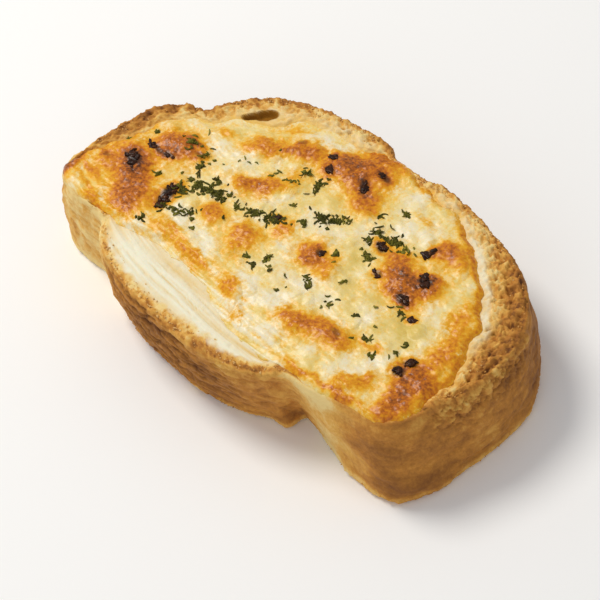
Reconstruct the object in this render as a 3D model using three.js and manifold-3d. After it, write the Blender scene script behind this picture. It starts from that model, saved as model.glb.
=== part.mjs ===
// One thick slice of garlic bread: a cut slice of loaf with a crust all round its wall, and a
// layer of melted cheese on its upper face, blistered and browned, with chopped parsley on it.
// Millimetres, +Z up, the slice's long way along X, lying on its lower cut face.
import * as THREE from 'three';
import { ImprovedNoise } from 'three/addons/math/ImprovedNoise.js';
import { mergeVertices } from 'three/addons/utils/BufferGeometryUtils.js';
import Module from 'manifold-3d';

const wasm = await Module();
wasm.setup();

// Driving dimensions
const breadHeight = 26.2;       // between the two cut faces of the loaf, under the cheese
const rimRise = 1.3;            // the bare crumb beside the cheese stands higher
const riseStart = 0.7;          // distance from the cheese where that rise begins
const riseEnd = 4;              // and where it is complete
const faceSwell = 0.35;         // slow rise and fall of the upper cut face
const rimRadius = 1.1;          // rounding of the crust where it meets the upper face
const footRadius = 1.8;         // rounding of the crust where it meets the lower face
const wallBulge = 0.9;          // how far the crust stands out at half height
const creaseSoftness = 0.8;     // rounding where two swellings of the loaf meet
const crustRelief = 0.8;        // depth of the folds and flakes in the crust
const foldSpacing = 9;          // between the crust's long folds
const flakeSpacing = 5;         // between the flakes on the dark belly side
const crumbRelief = 0.3;        // roughness of the bare crumb beside the cheese
const crumbSpacing = 4;
const cheeseGap = 0.3;          // clearance between the crumb and the cheese
const cheeseThickness = 1.5;    // melted layer, away from its blisters
const cheeseLip = 0.8;          // thickness at the rounded edge of the layer
const cheeseMargin = 7;         // bare rim between the cheese and the crust
const edgeWave = 1.2;           // wander of the cheese's edge
const rippleHeight = 0.25;      // slow unevenness of the melted surface
const rippleSpacing = 7;
const frontEdge = -25;          // the cheese stops here, well short of the front crust
const frontDrop = 4;            // and runs this much further forward near the deep crease
const parsleyThickness = 0.7;   // chopped leaf, half sunk in the cheese
const parsleySmallest = 0.8;    // half size of the smallest scrap
const parsleySpread = 0.9;      // and how much larger the largest is
const parsleyLift = 0.45;       // its upper face above the cheese
const charThickness = 0.75;
const seed = 23;

const breadColumns = 144;
const wallRows = 12;
const coveredRings = [0.4, 0.75, 1];
const bareRings = [0.3, 0.65, 1];
const cheeseColumns = 102;
const cheeseRings = 11;
const cheeseUnderRings = 3;
const parsleyCorners = 5;

// The loaf's swellings, seen from above: place and half sizes at the upper face, the exponent that
// squares off the oval, and how much each moves along and grows on its way to the lower face
const swellings = {
  crown: { x: 0, y: 1.2, long: 67.2, wide: 23.4, square: 2.2, moves: 0, longer: 1, wider: 0 },
  heel: { x: -36.3, y: -14.6, long: 32.2, wide: 14.8, square: 6.2, moves: -0.5, longer: 0.5, wider: 2 },
  belly: { x: -7.9, y: -3.3, long: 46, wide: 37.3, square: 2.7, moves: -3, longer: -4, wider: -2.4 },
  dome: { x: 6, y: 5.6, long: 61.4, wide: 36.2, square: 2.6, moves: 1, longer: 1.5, wider: 0 },
  lip: { x: 49.6, y: -2.8, long: 15.2, wide: 21.2, square: 3.4, moves: 2, longer: 3.4, wider: 3.6 },
};

// Dents in the crust's outline, by direction from the middle in degrees: a flat bottom between
// two slopes, and how much the dent leans sideways and deepens down to the lower face
const dents = [
  { at: 87, flat: 9, slope: 5, depth: 1.9, lean: 0, deeper: -0.6 },
  { at: 165, flat: 0, slope: 4, depth: 1.2, lean: 0, deeper: 0 },
  { at: -147, flat: 0, slope: 6, depth: 1, lean: 0, deeper: 0.8 },
  { at: -43, flat: 0, slope: 10, depth: 0.6, lean: 4.5, deeper: 7.4 },
];

// Where the cheese runs nearer to the crust or stays further from it, in degrees
const marginChanges = [
  { at: 88, spread: 24, change: -6.3 },
  { at: 24, spread: 42, change: 5 },
  { at: -32, spread: 36, change: -6.3 },
  { at: -160, spread: 18, change: -4.5 },
];

// Browned blisters of the cheese: place, half sizes, turn in degrees and height
const blisters = [
  [-47, 2, 11, 7, 15, 1.3],
  [-50, -13, 12, 8, -20, 1.2],
  [-30, 19, 9, 5, 35, 0.9],
  [-4, 28, 12, 9, 10, 1.4],
  [-22, 7, 9, 5, 30, 0.9],
  [-11, -9, 6, 5, 0, 0.9],
  [-24, -8, 4.5, 4.5, 0, 0.7],
  [8, 1, 7, 5, -15, 0.9],
  [31, 12, 10, 7, -20, 1.3],
  [34, 26, 8, 5, -20, 0.9],
  [26, -15, 11, 5, 15, 0.9],
  [46, -19, 6, 4.5, 20, 0.8],
  [55, -4, 5, 12, 5, 0.8],
  [-16, -21, 9, 2.6, 0, 0.6],
];

// Parsley, one row a cluster: place, half sizes and number of flakes
const parsleyClusters = [
  [-32, -4, 8, 2.2, 9],
  [-12, 1, 5.5, 2, 7],
  [-36, -8, 2.5, 2.5, 3],
  [-28.5, -13.4, 3, 1.8, 3],
  [0.5, 11.6, 4.5, 2.2, 6],
  [17, 18.5, 5, 2.5, 6],
  [-11, 17.5, 2.5, 2.5, 3],
  [38, 3.5, 2.5, 1.2, 2],
  [45, -8, 2.5, 3, 3],
  [-2.5, -10, 3.5, 3, 3],
  [17, -6, 7, 1.6, 3],
  [-42, 2.5, 4, 2.5, 3],
  [14, 27, 2, 1, 1],
  [-36.3, -22, 0.8, 1.6, 1],
];

// Charred bits: place, half sizes and turn in degrees
const charredBits = [
  [-54.7, -11.1, 2.6, 2.2, 20],
  [-37.8, -12, 1.8, 3.4, 10],
  [-51, -4, 3.6, 1, 6],
  [-0.8, 25.3, 2.4, 1.1, -40],
  [28.7, 22.5, 1, 2, -10],
  [35.1, 14.8, 2.3, 1.5, -20],
  [17.6, 15.3, 1.8, 1.1, -10],
  [35.1, 7.1, 2, 1.1, 0],
  [51.5, -5.6, 2.1, 1.7, 30],
  [51.4, -9.3, 1.6, 1.4, 0],
];

// The lens-shaped air hole and the pores of the rim: place, half sizes and turn in degrees
const airHoles = [
  [-40.7, 24.3, 4, 2.1, 50, 2.6],
  [-62, 4.2, 0.9, 0.8, 0, 1],
  [-61.8, 0.6, 0.9, 0.7, 0, 1],
  [-24.5, 37.2, 0.8, 0.6, 0, 1],
  [-33.2, 35.6, 1, 0.6, 20, 1],
];

const noise = new ImprovedNoise();

// 1 in the middle of a stretch, falling smoothly to 0 at its ends
function bell(offset, spread) {
  const share = Math.min(Math.abs(offset) / spread, 1);
  return (1 + Math.cos(Math.PI * share)) / 2;
}

function angleBetween(a, b) {
  return ((a - b + 540) % 360) - 180;
}

// A repeatable stream of numbers from 0 to 1
function randomStream(start) {
  let state = start;
  return () => {
    state = (Math.imul(state, 1664525) + 1013904223) >>> 0;
    return state / 4294967296;
  };
}

// Below 0 inside the loaf's outline, at a depth of 0 on the upper face to 1 on the lower one
function outlineField(x, y, depth) {
  let sum = 0;
  for (const part of Object.values(swellings)) {
    const long = part.long + part.longer * depth;
    const wide = part.wide + part.wider * depth;
    const along = Math.abs(x - part.x - part.moves * depth) / long;
    const across = Math.abs(y - part.y) / wide;
    const share = (along ** part.square + across ** part.square) ** (1 / part.square);
    sum += Math.exp((1 - share) * Math.sqrt(long * wide) / creaseSoftness);
  }
  return -creaseSoftness * Math.log(sum);
}

// How far the crust is from the middle in a direction, before its bulge and relief
function outlineReach(angle, depth) {
  const radians = THREE.MathUtils.degToRad(angle);
  const ux = Math.cos(radians);
  const uy = Math.sin(radians);
  let outside = 80;
  while (outlineField(ux * (outside - 1), uy * (outside - 1), depth) > 0) outside -= 1;
  let inside = outside - 1;
  for (let step = 0; step < 12; step += 1) {
    const middle = (inside + outside) / 2;
    if (outlineField(ux * middle, uy * middle, depth) < 0) inside = middle;
    else outside = middle;
  }
  let reach = inside;
  for (const dent of dents) {
    const offset = Math.abs(angleBetween(angle, dent.at + dent.lean * depth)) - dent.flat;
    reach -= (dent.depth + dent.deeper * depth) * bell(Math.max(offset, 0), dent.slope);
  }
  return reach;
}

// How far the cheese runs from the middle in a direction
function cheeseReach(angle) {
  let margin = cheeseMargin;
  for (const part of marginChanges) {
    margin += part.change * bell(angleBetween(angle, part.at), part.spread);
  }
  const reach = outlineReach(angle, 0) - margin;
  const slope = Math.sin(THREE.MathUtils.degToRad(angle));
  const wave = edgeWave * noise.noise(angle / 9, 3, 5);
  const front = frontEdge - frontDrop * THREE.MathUtils.smoothstep(angle, 265, 290);
  const toFront = slope < -0.05 ? front / slope : Infinity;
  return Math.min(reach, toFront) + wave;
}

// The upper cut face, under the cheese
function faceHeight(x, y) {
  return breadHeight + faceSwell * Math.sin(x / 17 + 0.6) * Math.cos(y / 14);
}

function at(angle, radius) {
  const radians = THREE.MathUtils.degToRad(angle);
  return new THREE.Vector2(radius * Math.cos(radians), radius * Math.sin(radians));
}

// A closed skin over rings of points from the top centre to the bottom centre
function skin(top, rings, bottom) {
  const columns = rings[0].length;
  const points = [top, ...rings.flat(), bottom];
  const faces = [];
  for (let column = 0; column < columns; column += 1) {
    const next = (column + 1) % columns;
    faces.push(0, 1 + column, 1 + next);
    for (let ring = 0; ring + 1 < rings.length; ring += 1) {
      const upper = 1 + ring * columns;
      const lower = upper + columns;
      faces.push(upper + column, lower + column, lower + next);
      faces.push(upper + column, lower + next, upper + next);
    }
    const last = 1 + (rings.length - 1) * columns;
    faces.push(last + column, points.length - 1, last + next);
  }
  const geometry = new THREE.BufferGeometry().setFromPoints(points);
  geometry.setIndex(faces);
  return geometry;
}

function toSolid(geometry) {
  const bare = geometry.clone();
  bare.deleteAttribute('normal');
  bare.deleteAttribute('uv');
  const merged = mergeVertices(bare, 1e-4);
  return new wasm.Manifold(new wasm.Mesh({
    numProp: 3,
    vertProperties: Float32Array.from(merged.attributes.position.array),
    triVerts: Uint32Array.from(merged.index.array),
  }));
}

// The largest body alone, so that sealed hollows are filled and loose scraps dropped
function toGeometry(solid) {
  const bodies = solid.decompose();
  const body = bodies.reduce((best, other) => (other.volume() > best.volume() ? other : best));
  const mesh = body.getMesh();
  const geometry = new THREE.BufferGeometry();
  geometry.setAttribute('position', new THREE.BufferAttribute(mesh.vertProperties, 3));
  geometry.setIndex(new THREE.BufferAttribute(mesh.triVerts, 1));
  geometry.computeVertexNormals();
  return geometry;
}

// Folds that lean along the wall, with finer flakes on the dark belly side
function crustDepth(x, y, z) {
  const lean = z / (1.5 * foldSpacing);
  const folds = noise.noise(x / foldSpacing + lean, y / foldSpacing, 1.5 * z / foldSpacing);
  const flakes = Math.abs(noise.noise(x / flakeSpacing, y / flakeSpacing + 7, z / flakeSpacing));
  const bellySide = bell(y + 42, 22) * bell(x + 12, 44);
  return crustRelief * (folds + 1.6 * bellySide * (flakes - 0.25));
}

function makeBread() {
  const face = [...coveredRings, ...bareRings].map(() => []);
  const wall = Array.from({ length: wallRows + 1 }, () => []);
  const foot = [];
  for (let column = 0; column < breadColumns; column += 1) {
    const angle = (360 * column) / breadColumns;
    const edge = outlineReach(angle, 0);
    const cheese = cheeseReach(angle);
    const rim = edge - rimRadius;
    const covered = Math.min(cheese + riseStart, rim - cheeseGap);
    const radii = [
      ...coveredRings.map((share) => covered * share),
      ...bareRings.map((share) => covered + (rim - covered) * share),
    ];
    radii.forEach((radius, ring) => {
      const place = at(angle, radius);
      const bare = THREE.MathUtils.smoothstep(radius - cheese, riseStart, riseEnd);
      const rough = crumbRelief * noise.noise(place.x / crumbSpacing, place.y / crumbSpacing, 11);
      const height = faceHeight(place.x, place.y) + bare * (rimRise + rough);
      face[ring].push(new THREE.Vector3(place.x, place.y, height));
    });
    const topHeight = face.at(-1).at(-1).z - rimRadius;
    for (let row = 0; row <= wallRows; row += 1) {
      const depth = row / wallRows;
      const height = THREE.MathUtils.lerp(topHeight, footRadius, depth);
      const radius = outlineReach(angle, depth) + wallBulge * Math.sin(Math.PI * depth);
      const place = at(angle, radius);
      const inward = at(angle, radius + crustDepth(place.x, place.y, height));
      wall[row].push(new THREE.Vector3(inward.x, inward.y, height));
    }
    const under = at(angle, outlineReach(angle, 1) - footRadius);
    foot.push(new THREE.Vector3(under.x, under.y, 0));
  }
  const top = new THREE.Vector3(0, 0, faceHeight(0, 0));
  let bread = toSolid(skin(top, [...face, ...wall, foot], new THREE.Vector3()));
  for (const [x, y, long, wide, turn, deep] of airHoles) {
    const hole = new THREE.SphereGeometry(1, 10, 6);
    hole.scale(long, wide, deep);
    hole.rotateZ(THREE.MathUtils.degToRad(turn));
    hole.translate(x, y, faceHeight(x, y));
    bread = bread.subtract(toSolid(hole));
  }
  return toGeometry(bread);
}

function blisterHeight(x, y) {
  const middle = new THREE.Vector2();
  let height = 0;
  for (const [cx, cy, long, wide, turn, tall] of blisters) {
    const local = new THREE.Vector2(x - cx, y - cy);
    local.rotateAround(middle, -THREE.MathUtils.degToRad(turn));
    const share = Math.hypot(local.x / long, local.y / wide);
    if (share < 1) height = Math.max(height, tall * (1 - share * share) ** 1.5);
  }
  return height;
}

function cheeseHeight(x, y) {
  const ripple = rippleHeight * noise.noise(x / rippleSpacing, y / rippleSpacing, 2);
  return faceHeight(x, y) + cheeseGap + cheeseThickness + blisterHeight(x, y) + ripple;
}

function makeCheeseLayer() {
  const upper = Array.from({ length: cheeseRings }, () => []);
  const edge = [];
  const lower = Array.from({ length: cheeseUnderRings }, () => []);
  for (let column = 0; column < cheeseColumns; column += 1) {
    const angle = (360 * column) / cheeseColumns;
    const reach = cheeseReach(angle);
    upper.forEach((ring, index) => {
      const share = (index + 1) / cheeseRings;
      const place = at(angle, (reach - cheeseLip / 2) * share);
      const drop = index === cheeseRings - 1 ? cheeseThickness - cheeseLip : 0;
      ring.push(new THREE.Vector3(place.x, place.y, cheeseHeight(place.x, place.y) - drop));
    });
    const rim = at(angle, reach);
    edge.push(new THREE.Vector3(rim.x, rim.y, faceHeight(rim.x, rim.y) + cheeseGap + cheeseLip / 2));
    lower.forEach((ring, index) => {
      const share = 1 - index / cheeseUnderRings;
      const place = at(angle, (reach - cheeseLip / 4) * share);
      ring.push(new THREE.Vector3(place.x, place.y, faceHeight(place.x, place.y) + cheeseGap));
    });
  }
  const top = new THREE.Vector3(0, 0, cheeseHeight(0, 0));
  const bottom = new THREE.Vector3(0, 0, faceHeight(0, 0) + cheeseGap);
  return toSolid(skin(top, [...upper, edge, ...lower], bottom));
}

// A scrap of chopped leaf: a thin wavy plate with uneven corners
function makeFlake(random) {
  const size = parsleySmallest + parsleySpread * random();
  const corners = [];
  for (let corner = 0; corner < parsleyCorners; corner += 1) {
    const place = at((360 * corner) / parsleyCorners, size * (0.7 + 0.5 * random()));
    corners.push(new THREE.Vector3(1.3 * place.x, 0.9 * place.y, 0.2 * (corner % 2)));
  }
  const under = corners.map((corner) => new THREE.Vector3(corner.x, corner.y, corner.z - parsleyThickness));
  const foot = new THREE.Vector3(0, 0, -parsleyThickness);
  const flake = skin(new THREE.Vector3(0, 0, 0.1), [corners, under], foot);
  flake.rotateX(0.5 * (random() - 0.5));
  flake.rotateZ(2 * Math.PI * random());
  return flake;
}

function makeCheeseTopping() {
  const random = randomStream(seed);
  let topping = makeCheeseLayer();
  for (const [x, y, long, wide, turn] of charredBits) {
    const bit = new THREE.IcosahedronGeometry(1, 0);
    bit.scale(long, wide, charThickness);
    bit.rotateZ(THREE.MathUtils.degToRad(turn));
    bit.translate(x, y, cheeseHeight(x, y) + charThickness / 4);
    topping = topping.add(toSolid(bit));
  }
  for (const [x, y, long, wide, count] of parsleyClusters) {
    for (let index = 0; index < count; index += 1) {
      const angle = 2 * Math.PI * random();
      const radius = Math.sqrt(random());
      const px = x + long * radius * Math.cos(angle);
      const py = y + wide * radius * Math.sin(angle);
      const flake = makeFlake(random);
  flake.translate(px, py, cheeseHeight(px, py) + parsleyLift);
      topping = topping.add(toSolid(flake));
    }
  }
  return toGeometry(topping);
}

const crust = new THREE.MeshStandardMaterial({ color: 0xa9713a, roughness: 0.85, metalness: 0 });
const cheese = new THREE.MeshStandardMaterial({ color: 0xe8c878, roughness: 0.4, metalness: 0 });

const bread = new THREE.Mesh(makeBread(), crust);
bread.name = 'bread';
const topping = new THREE.Mesh(makeCheeseTopping(), cheese);
topping.name = 'cheese_topping';

const garlicBread = new THREE.Group();
garlicBread.add(bread, topping);

// The origin is under the middle of the slice
const box = new THREE.Box3().setFromObject(garlicBread);
garlicBread.position.set(-(box.min.x + box.max.x) / 2, -(box.min.y + box.max.y) / 2, 0);
garlicBread.updateMatrixWorld(true);

export default garlicBread;
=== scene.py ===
# Garlic bread: one thick slice of loaf lying on its lower cut face, under a layer of melted,
# blistered and browned cheese with chopped parsley. Blender 4.5, metres, +Z up.
import math
import random
from functools import partial
import bmesh
import bpy
import numpy as np
from mathutils import Matrix, Vector, noise


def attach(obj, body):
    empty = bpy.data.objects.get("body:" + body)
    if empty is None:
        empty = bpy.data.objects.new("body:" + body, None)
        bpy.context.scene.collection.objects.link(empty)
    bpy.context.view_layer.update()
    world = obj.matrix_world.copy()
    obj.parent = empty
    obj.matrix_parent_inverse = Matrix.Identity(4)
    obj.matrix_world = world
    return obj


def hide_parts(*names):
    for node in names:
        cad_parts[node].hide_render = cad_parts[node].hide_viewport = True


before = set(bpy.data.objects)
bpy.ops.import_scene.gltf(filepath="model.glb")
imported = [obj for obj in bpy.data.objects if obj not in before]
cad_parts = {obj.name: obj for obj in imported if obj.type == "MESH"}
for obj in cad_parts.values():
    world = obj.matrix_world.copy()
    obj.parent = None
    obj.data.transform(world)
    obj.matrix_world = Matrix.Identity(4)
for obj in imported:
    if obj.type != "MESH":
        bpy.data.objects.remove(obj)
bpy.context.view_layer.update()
mm = 0.001
planShift = np.array([0.421, 0.835, 0.0])  # mm, from the middle of the slice's outline to the frame's origin

for material in list(bpy.data.materials):
    bpy.data.materials.remove(material)


def bell(offset, spread):
    share = np.clip(np.abs(offset) / spread, 0, 1)
    return (1 + np.cos(np.pi * share)) / 2


def smooth(low, high, value):
    share = np.clip((value - low) / (high - low), 0, 1)
    return share * share * (3 - 2 * share)


def turnBetween(a, b):
    return (a - b + 540) % 360 - 180


def towards(angle, at, spread):
    # 1 in the direction at, falling to 0 at spread degrees from it
    return bell(turnBetween(angle, at), spread)


def stretch(direction, begins, full, still, ends):
    # 1 from full to still and 0 outside begins and ends, all in degrees
    return smooth(begins, full, direction) * smooth(ends, still, direction)


def cloud(points, spacing, octaves=3, shift=0.0):
    # fractal noise at points in mm, about -1 to 1; spacing is one size or one for each axis
    scaled = points / np.asarray(spacing, float) + shift
    values = [noise.fractal(point, 0.9, 2.1, octaves) for point in scaled.reshape(-1, 3).tolist()]
    return np.array(values).reshape(points.shape[:-1])


def cells(points, spacing, shift=0.0):
    # distance in mm to the nearest cell centre, and a number from 0 to 1 that goes with the cell
    scaled = points / spacing + shift
    distances, tags = [], []
    for point in scaled.reshape(-1, 3).tolist():
        near, centres = noise.voronoi(point)
        distances.append(near[0])
        tags.append((centres[0][0] * 12.9 + centres[0][1] * 78.2 + centres[0][2] * 37.7) % 1)
    shape = points.shape[:-1]
    return np.array(distances).reshape(shape) * spacing, np.array(tags).reshape(shape)


def domes(points, spacing, least, shift):
    # a round dome in each cell, 0 to 1, at least that share of its size, and the cell's number
    distance, tag = cells(points, spacing, shift)
    return np.clip(1 - (distance / (spacing * (least + 0.35 * tag))) ** 2, 0, 1), tag


def flatPoints(x, y):
    return np.stack([x, y, np.zeros_like(x)], -1)


def around(angle, radius, height):
    radians = np.radians(angle)
    x, y, z = np.broadcast_arrays(radius * np.cos(radians), radius * np.sin(radians), height)
    return np.stack([x, y, z], -1)


def turnedShare(x, y, cx, cy, long, wide, turn):
    # 0 in the middle of a turned oval and 1 on its edge
    cosine, sine = math.cos(math.radians(turn)), math.sin(math.radians(turn))
    along = ((x - cx) * cosine + (y - cy) * sine) / long
    across = ((y - cy) * cosine - (x - cx) * sine) / wide
    return np.hypot(along, across)


def ovalSpot(cx, cy, long, wide, turn, spin, reach):
    # a spot in a turned oval: spin in radians round it, reach 0 in its middle and 1 on its edge
    cosine, sine = math.cos(math.radians(turn)), math.sin(math.radians(turn))
    along, across = long * reach * math.cos(spin), wide * reach * math.sin(spin)
    return cx + along * cosine - across * sine, cy + along * sine + across * cosine


def gridNormals(grid):
    down = np.gradient(grid, axis=0)
    wrapped = np.concatenate([grid[:, -1:], grid, grid[:, :1]], 1)
    along = np.gradient(wrapped, axis=1)[:, 1:-1]
    normals = np.cross(down, along)
    return normals / np.maximum(np.linalg.norm(normals, axis=-1, keepdims=True), 1e-9)


def makePiece(name, points, faces, fields, material, replaced=None):
    # one closed mesh from points in mm, with named values at its points
    mesh = bpy.data.meshes.new(name)
    mesh.from_pydata(((np.asarray(points) - planShift) * mm).tolist(), [], faces)
    for field, values in fields.items():
        attribute = mesh.attributes.new(field, "FLOAT", "POINT")
        attribute.data.foreach_set("value", np.asarray(values, np.float32))
    mesh.shade_smooth()
    mesh.materials.append(material)
    piece = bpy.data.objects.new(name, mesh)
    bpy.context.scene.collection.objects.link(piece)
    if replaced:
        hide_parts(replaced)
    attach(piece, "root")
    return piece


def makeScatter(name, shapes, finish):
    # many small shapes as one piece; each is (points, faces, tone)
    points, faces, tones = [], [], []
    for shapePoints, shapeFaces, tone in shapes:
        start = len(points)
        points.extend(shapePoints.tolist())
        faces.extend([tuple(start + corner for corner in face) for face in shapeFaces])
        tones.extend([tone] * len(shapePoints))
    makePiece(name, points, faces, {"scrap": tones}, makeScrapMaterial(finish))


cameraValues = {
    "azimuth": 57.27,           # degrees round from the slice's front
    "elevation": 50.0,
    "roll": -10.0,
    "distance": 650.0,          # mm from the target
    "target": (13.53, -9.19, 28.0),
    "aim": (14.88, -10.57, 26.42),  # mm, what lies in the middle of the picture
    "lens": 151.6,
    "clip": (0.01, 20.0),       # m
}


def makeCamera(values):
    azimuth, elevation, roll = (math.radians(values[k]) for k in ("azimuth", "elevation", "roll"))
    back = Vector((math.sin(azimuth) * math.cos(elevation), -math.cos(azimuth) * math.cos(elevation),
                   math.sin(elevation)))
    level = Vector((math.cos(azimuth), math.sin(azimuth), 0))
    right = math.cos(roll) * level + math.sin(roll) * back.cross(level)
    shift = Vector(planShift)
    place = (Vector(values["target"]) - shift + back * values["distance"]) * mm
    toCamera = (place - (Vector(values["aim"]) - shift) * mm).normalized()
    right = (right - right.dot(toCamera) * toCamera).normalized()
    turn = Matrix((right, toCamera.cross(right), toCamera)).transposed()
    data = bpy.data.cameras.new("camera")
    data.lens = values["lens"]
    data.clip_start, data.clip_end = values["clip"]
    camera = bpy.data.objects.new("camera", data)
    camera.matrix_world = Matrix.Translation(place) @ turn.to_4x4()
    bpy.context.scene.collection.objects.link(camera)
    bpy.context.scene.camera = camera


makeCamera(cameraValues)
print("camera set")


def linear(hexColour, alpha=1.0):
    # sRGB hex to the linear colour that shaders use
    channels = [int(hexColour[i:i + 2], 16) / 255 for i in (1, 3, 5)]
    return tuple(c / 12.92 if c <= 0.04045 else ((c + 0.055) / 1.055) ** 2.4 for c in channels) + (alpha,)


def addNode(tree, kind, inputs=None, stops=None, **settings):
    # each input is a value, a socket, or a node whose first enabled output is meant
    node = tree.nodes.new("ShaderNode" + kind)
    for key, value in settings.items():
        setattr(node, key, value)
    for key, value in (inputs or {}).items():
        if isinstance(value, bpy.types.Node):
            value = next(socket for socket in value.outputs if socket.enabled)
        if isinstance(value, bpy.types.NodeSocket):
            tree.links.new(value, node.inputs[key])
        else:
            node.inputs[key].default_value = value
    if stops:
        ramp = node.color_ramp
        while len(ramp.elements) < len(stops):
            ramp.elements.new(1.0)
        for element, (position, colour) in zip(ramp.elements, stops):
            element.position = position
            element.color = linear(colour)
    return node


def newMaterial(name, *fields):
    # an empty material, what adds a node to it, and a socket for each named value of its piece
    material = bpy.data.materials.new(name)
    material.use_nodes = True
    material.node_tree.nodes.clear()
    add = partial(addNode, material.node_tree)
    sockets = [add("Attribute", attribute_name=field).outputs["Fac"] for field in fields]
    return material, add, *sockets


def perMetre(spacing):
    return 1 / (spacing * mm)   # a texture scale from a real spacing in mm


cheeseFinish = {
    # from pale melted curd through butter yellow and gold to a dark browned skin
    "tones": [(0.0, "#efd996"), (0.12, "#efc563"), (0.28, "#e9ac23"), (0.46, "#dc8f12"),
              (0.66, "#c16b16"), (0.84, "#935019"), (1.0, "#5b3118")],
    "milky": "#f1e6c6",         # thicker, whiter curd
    "oily": "#dcbf62",          # thin places where oil shows the bread through
    "charred": "#221004",
    "skinGrain": 1.1,           # mm, the fine blistering of a browned skin
    "grainReach": (-0.55, 0.55),  # how far that moves the tone
    "grainDepth": 0.25,         # mm
    "speckle": 0.7,             # mm, darker specks
    "speckReach": (0.12, -0.06),
    "uneven": (0.3, 0.18),      # how much of it shows: gained with browning, and on pale curd
    "patchSize": 6.0,           # mm, milky and oily patches
    "patchReach": (-0.5, 0.7),
    "roughness": (0.38, 0.3),   # pale curd, browned skin
    "gloss": 0.2,
    "oilFilm": (0.2, 0.26),     # weight and roughness of the oil on the skin
    "scatter": 0.1,
    "scatterDepth": 1.5,        # mm
}


def makeMeltedCheese(values):
    # melted and grilled cheese: soft, slightly see-through and glossy with its own oil
    material, add, browned, charred, milk = newMaterial("meltedCheese", "browned", "charred", "milk")
    place = add("TexCoord").outputs["Object"]
    specks = add("TexVoronoi", {"Vector": place, "Scale": perMetre(values["speckle"])})
    grain, patches = [add("TexNoise", {
        "Vector": place, "Scale": perMetre(spacing), "Detail": detail, "Roughness": 0.6})
        for spacing, detail in ((values["skinGrain"], 3.0), (values["patchSize"], 4.0))]
    uneven, curd = [add("MapRange", {
        "Value": texture, "From Min": 0.3, "From Max": 0.7, "To Min": low, "To Max": high})
        for texture, (low, high) in ((grain, values["grainReach"]), (patches, values["patchReach"]))]
    speckled = add("MapRange", {
        "Value": specks, "From Min": 0.1, "From Max": 0.6, "To Min": values["speckReach"][0],
        "To Max": values["speckReach"][1]})
    varied = add("Math", {0: uneven, 1: speckled}, operation="ADD")
    spread = add("Math", {
        0: browned, 1: values["uneven"][0], 2: values["uneven"][1]}, operation="MULTIPLY_ADD")
    toned = add("Math", {0: varied, 1: spread, 2: browned}, operation="MULTIPLY_ADD", use_clamp=True)
    curdled = add("Math", {0: milk, 1: curd}, operation="ADD")
    paleness = add("MapRange", {"Value": toned, "From Min": 0.3, "From Max": 0.02})
    colour = add("ValToRGB", {"Fac": toned}, values["tones"])
    for tint, full in (("milky", 0.7), ("oily", -0.7)):
        share = add("MapRange", {"Value": curdled, "From Max": full})
        shown = add("Math", {0: share, 1: paleness}, operation="MULTIPLY")
        colour = add("Mix", {0: shown, 6: colour, 7: linear(values[tint])}, data_type="RGBA")
    burnt = add("Mix", {0: charred, 6: colour, 7: linear(values["charred"])}, data_type="RGBA")
    rough = add("MapRange", {
        "Value": browned, "To Min": values["roughness"][0], "To Max": values["roughness"][1]})
    bump = add("Bump", {"Height": grain, "Strength": 0.5, "Distance": values["grainDepth"] * mm})
    shader = add("BsdfPrincipled", {
        "Base Color": burnt, "Roughness": rough, "IOR": 1.46, "Specular IOR Level": values["gloss"],
        "Coat Weight": values["oilFilm"][0], "Coat Roughness": values["oilFilm"][1],
        "Subsurface Weight": values["scatter"], "Subsurface Radius": (1.0, 0.6, 0.3),
        "Subsurface Scale": values["scatterDepth"] * mm, "Normal": bump})
    add("OutputMaterial", {"Surface": shader})
    return material


breadFinish = {
    "crustTones": [(0.0, "#edd08b"), (0.2, "#dfab55"), (0.42, "#be8139"), (0.62, "#9a652f"),
                   (0.82, "#724727"), (1.0, "#462817")],
    "crumb": "#f1edd5",         # soft inside of the loaf
    "crumbStreakAndShade": "#e3bf70",    # golden streaks in it, also laid in its dips and between its ridges as painted shade
    "butter": "#eabc5a",        # crumb soaked with butter beside the cheese
    "hole": "#95641c",          # golden-brown wall of an air hole and of the pores, darker than the crumb partly as painted shade inside them
    "mottle": 9.0,              # mm, uneven baking of the crust
    "mottleReach": 0.09,        # how far that moves the tone
    "flour": 0.9,               # mm, fine grain of the crust
    "flourReach": 0.07,
    "flourDepth": 0.25,         # mm
    "roughness": (0.88, 0.6),   # crumb, crust
    "gloss": 0.12,
    "scatter": 0.06,
    "scatterDepth": 1.2,        # mm
}


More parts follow.
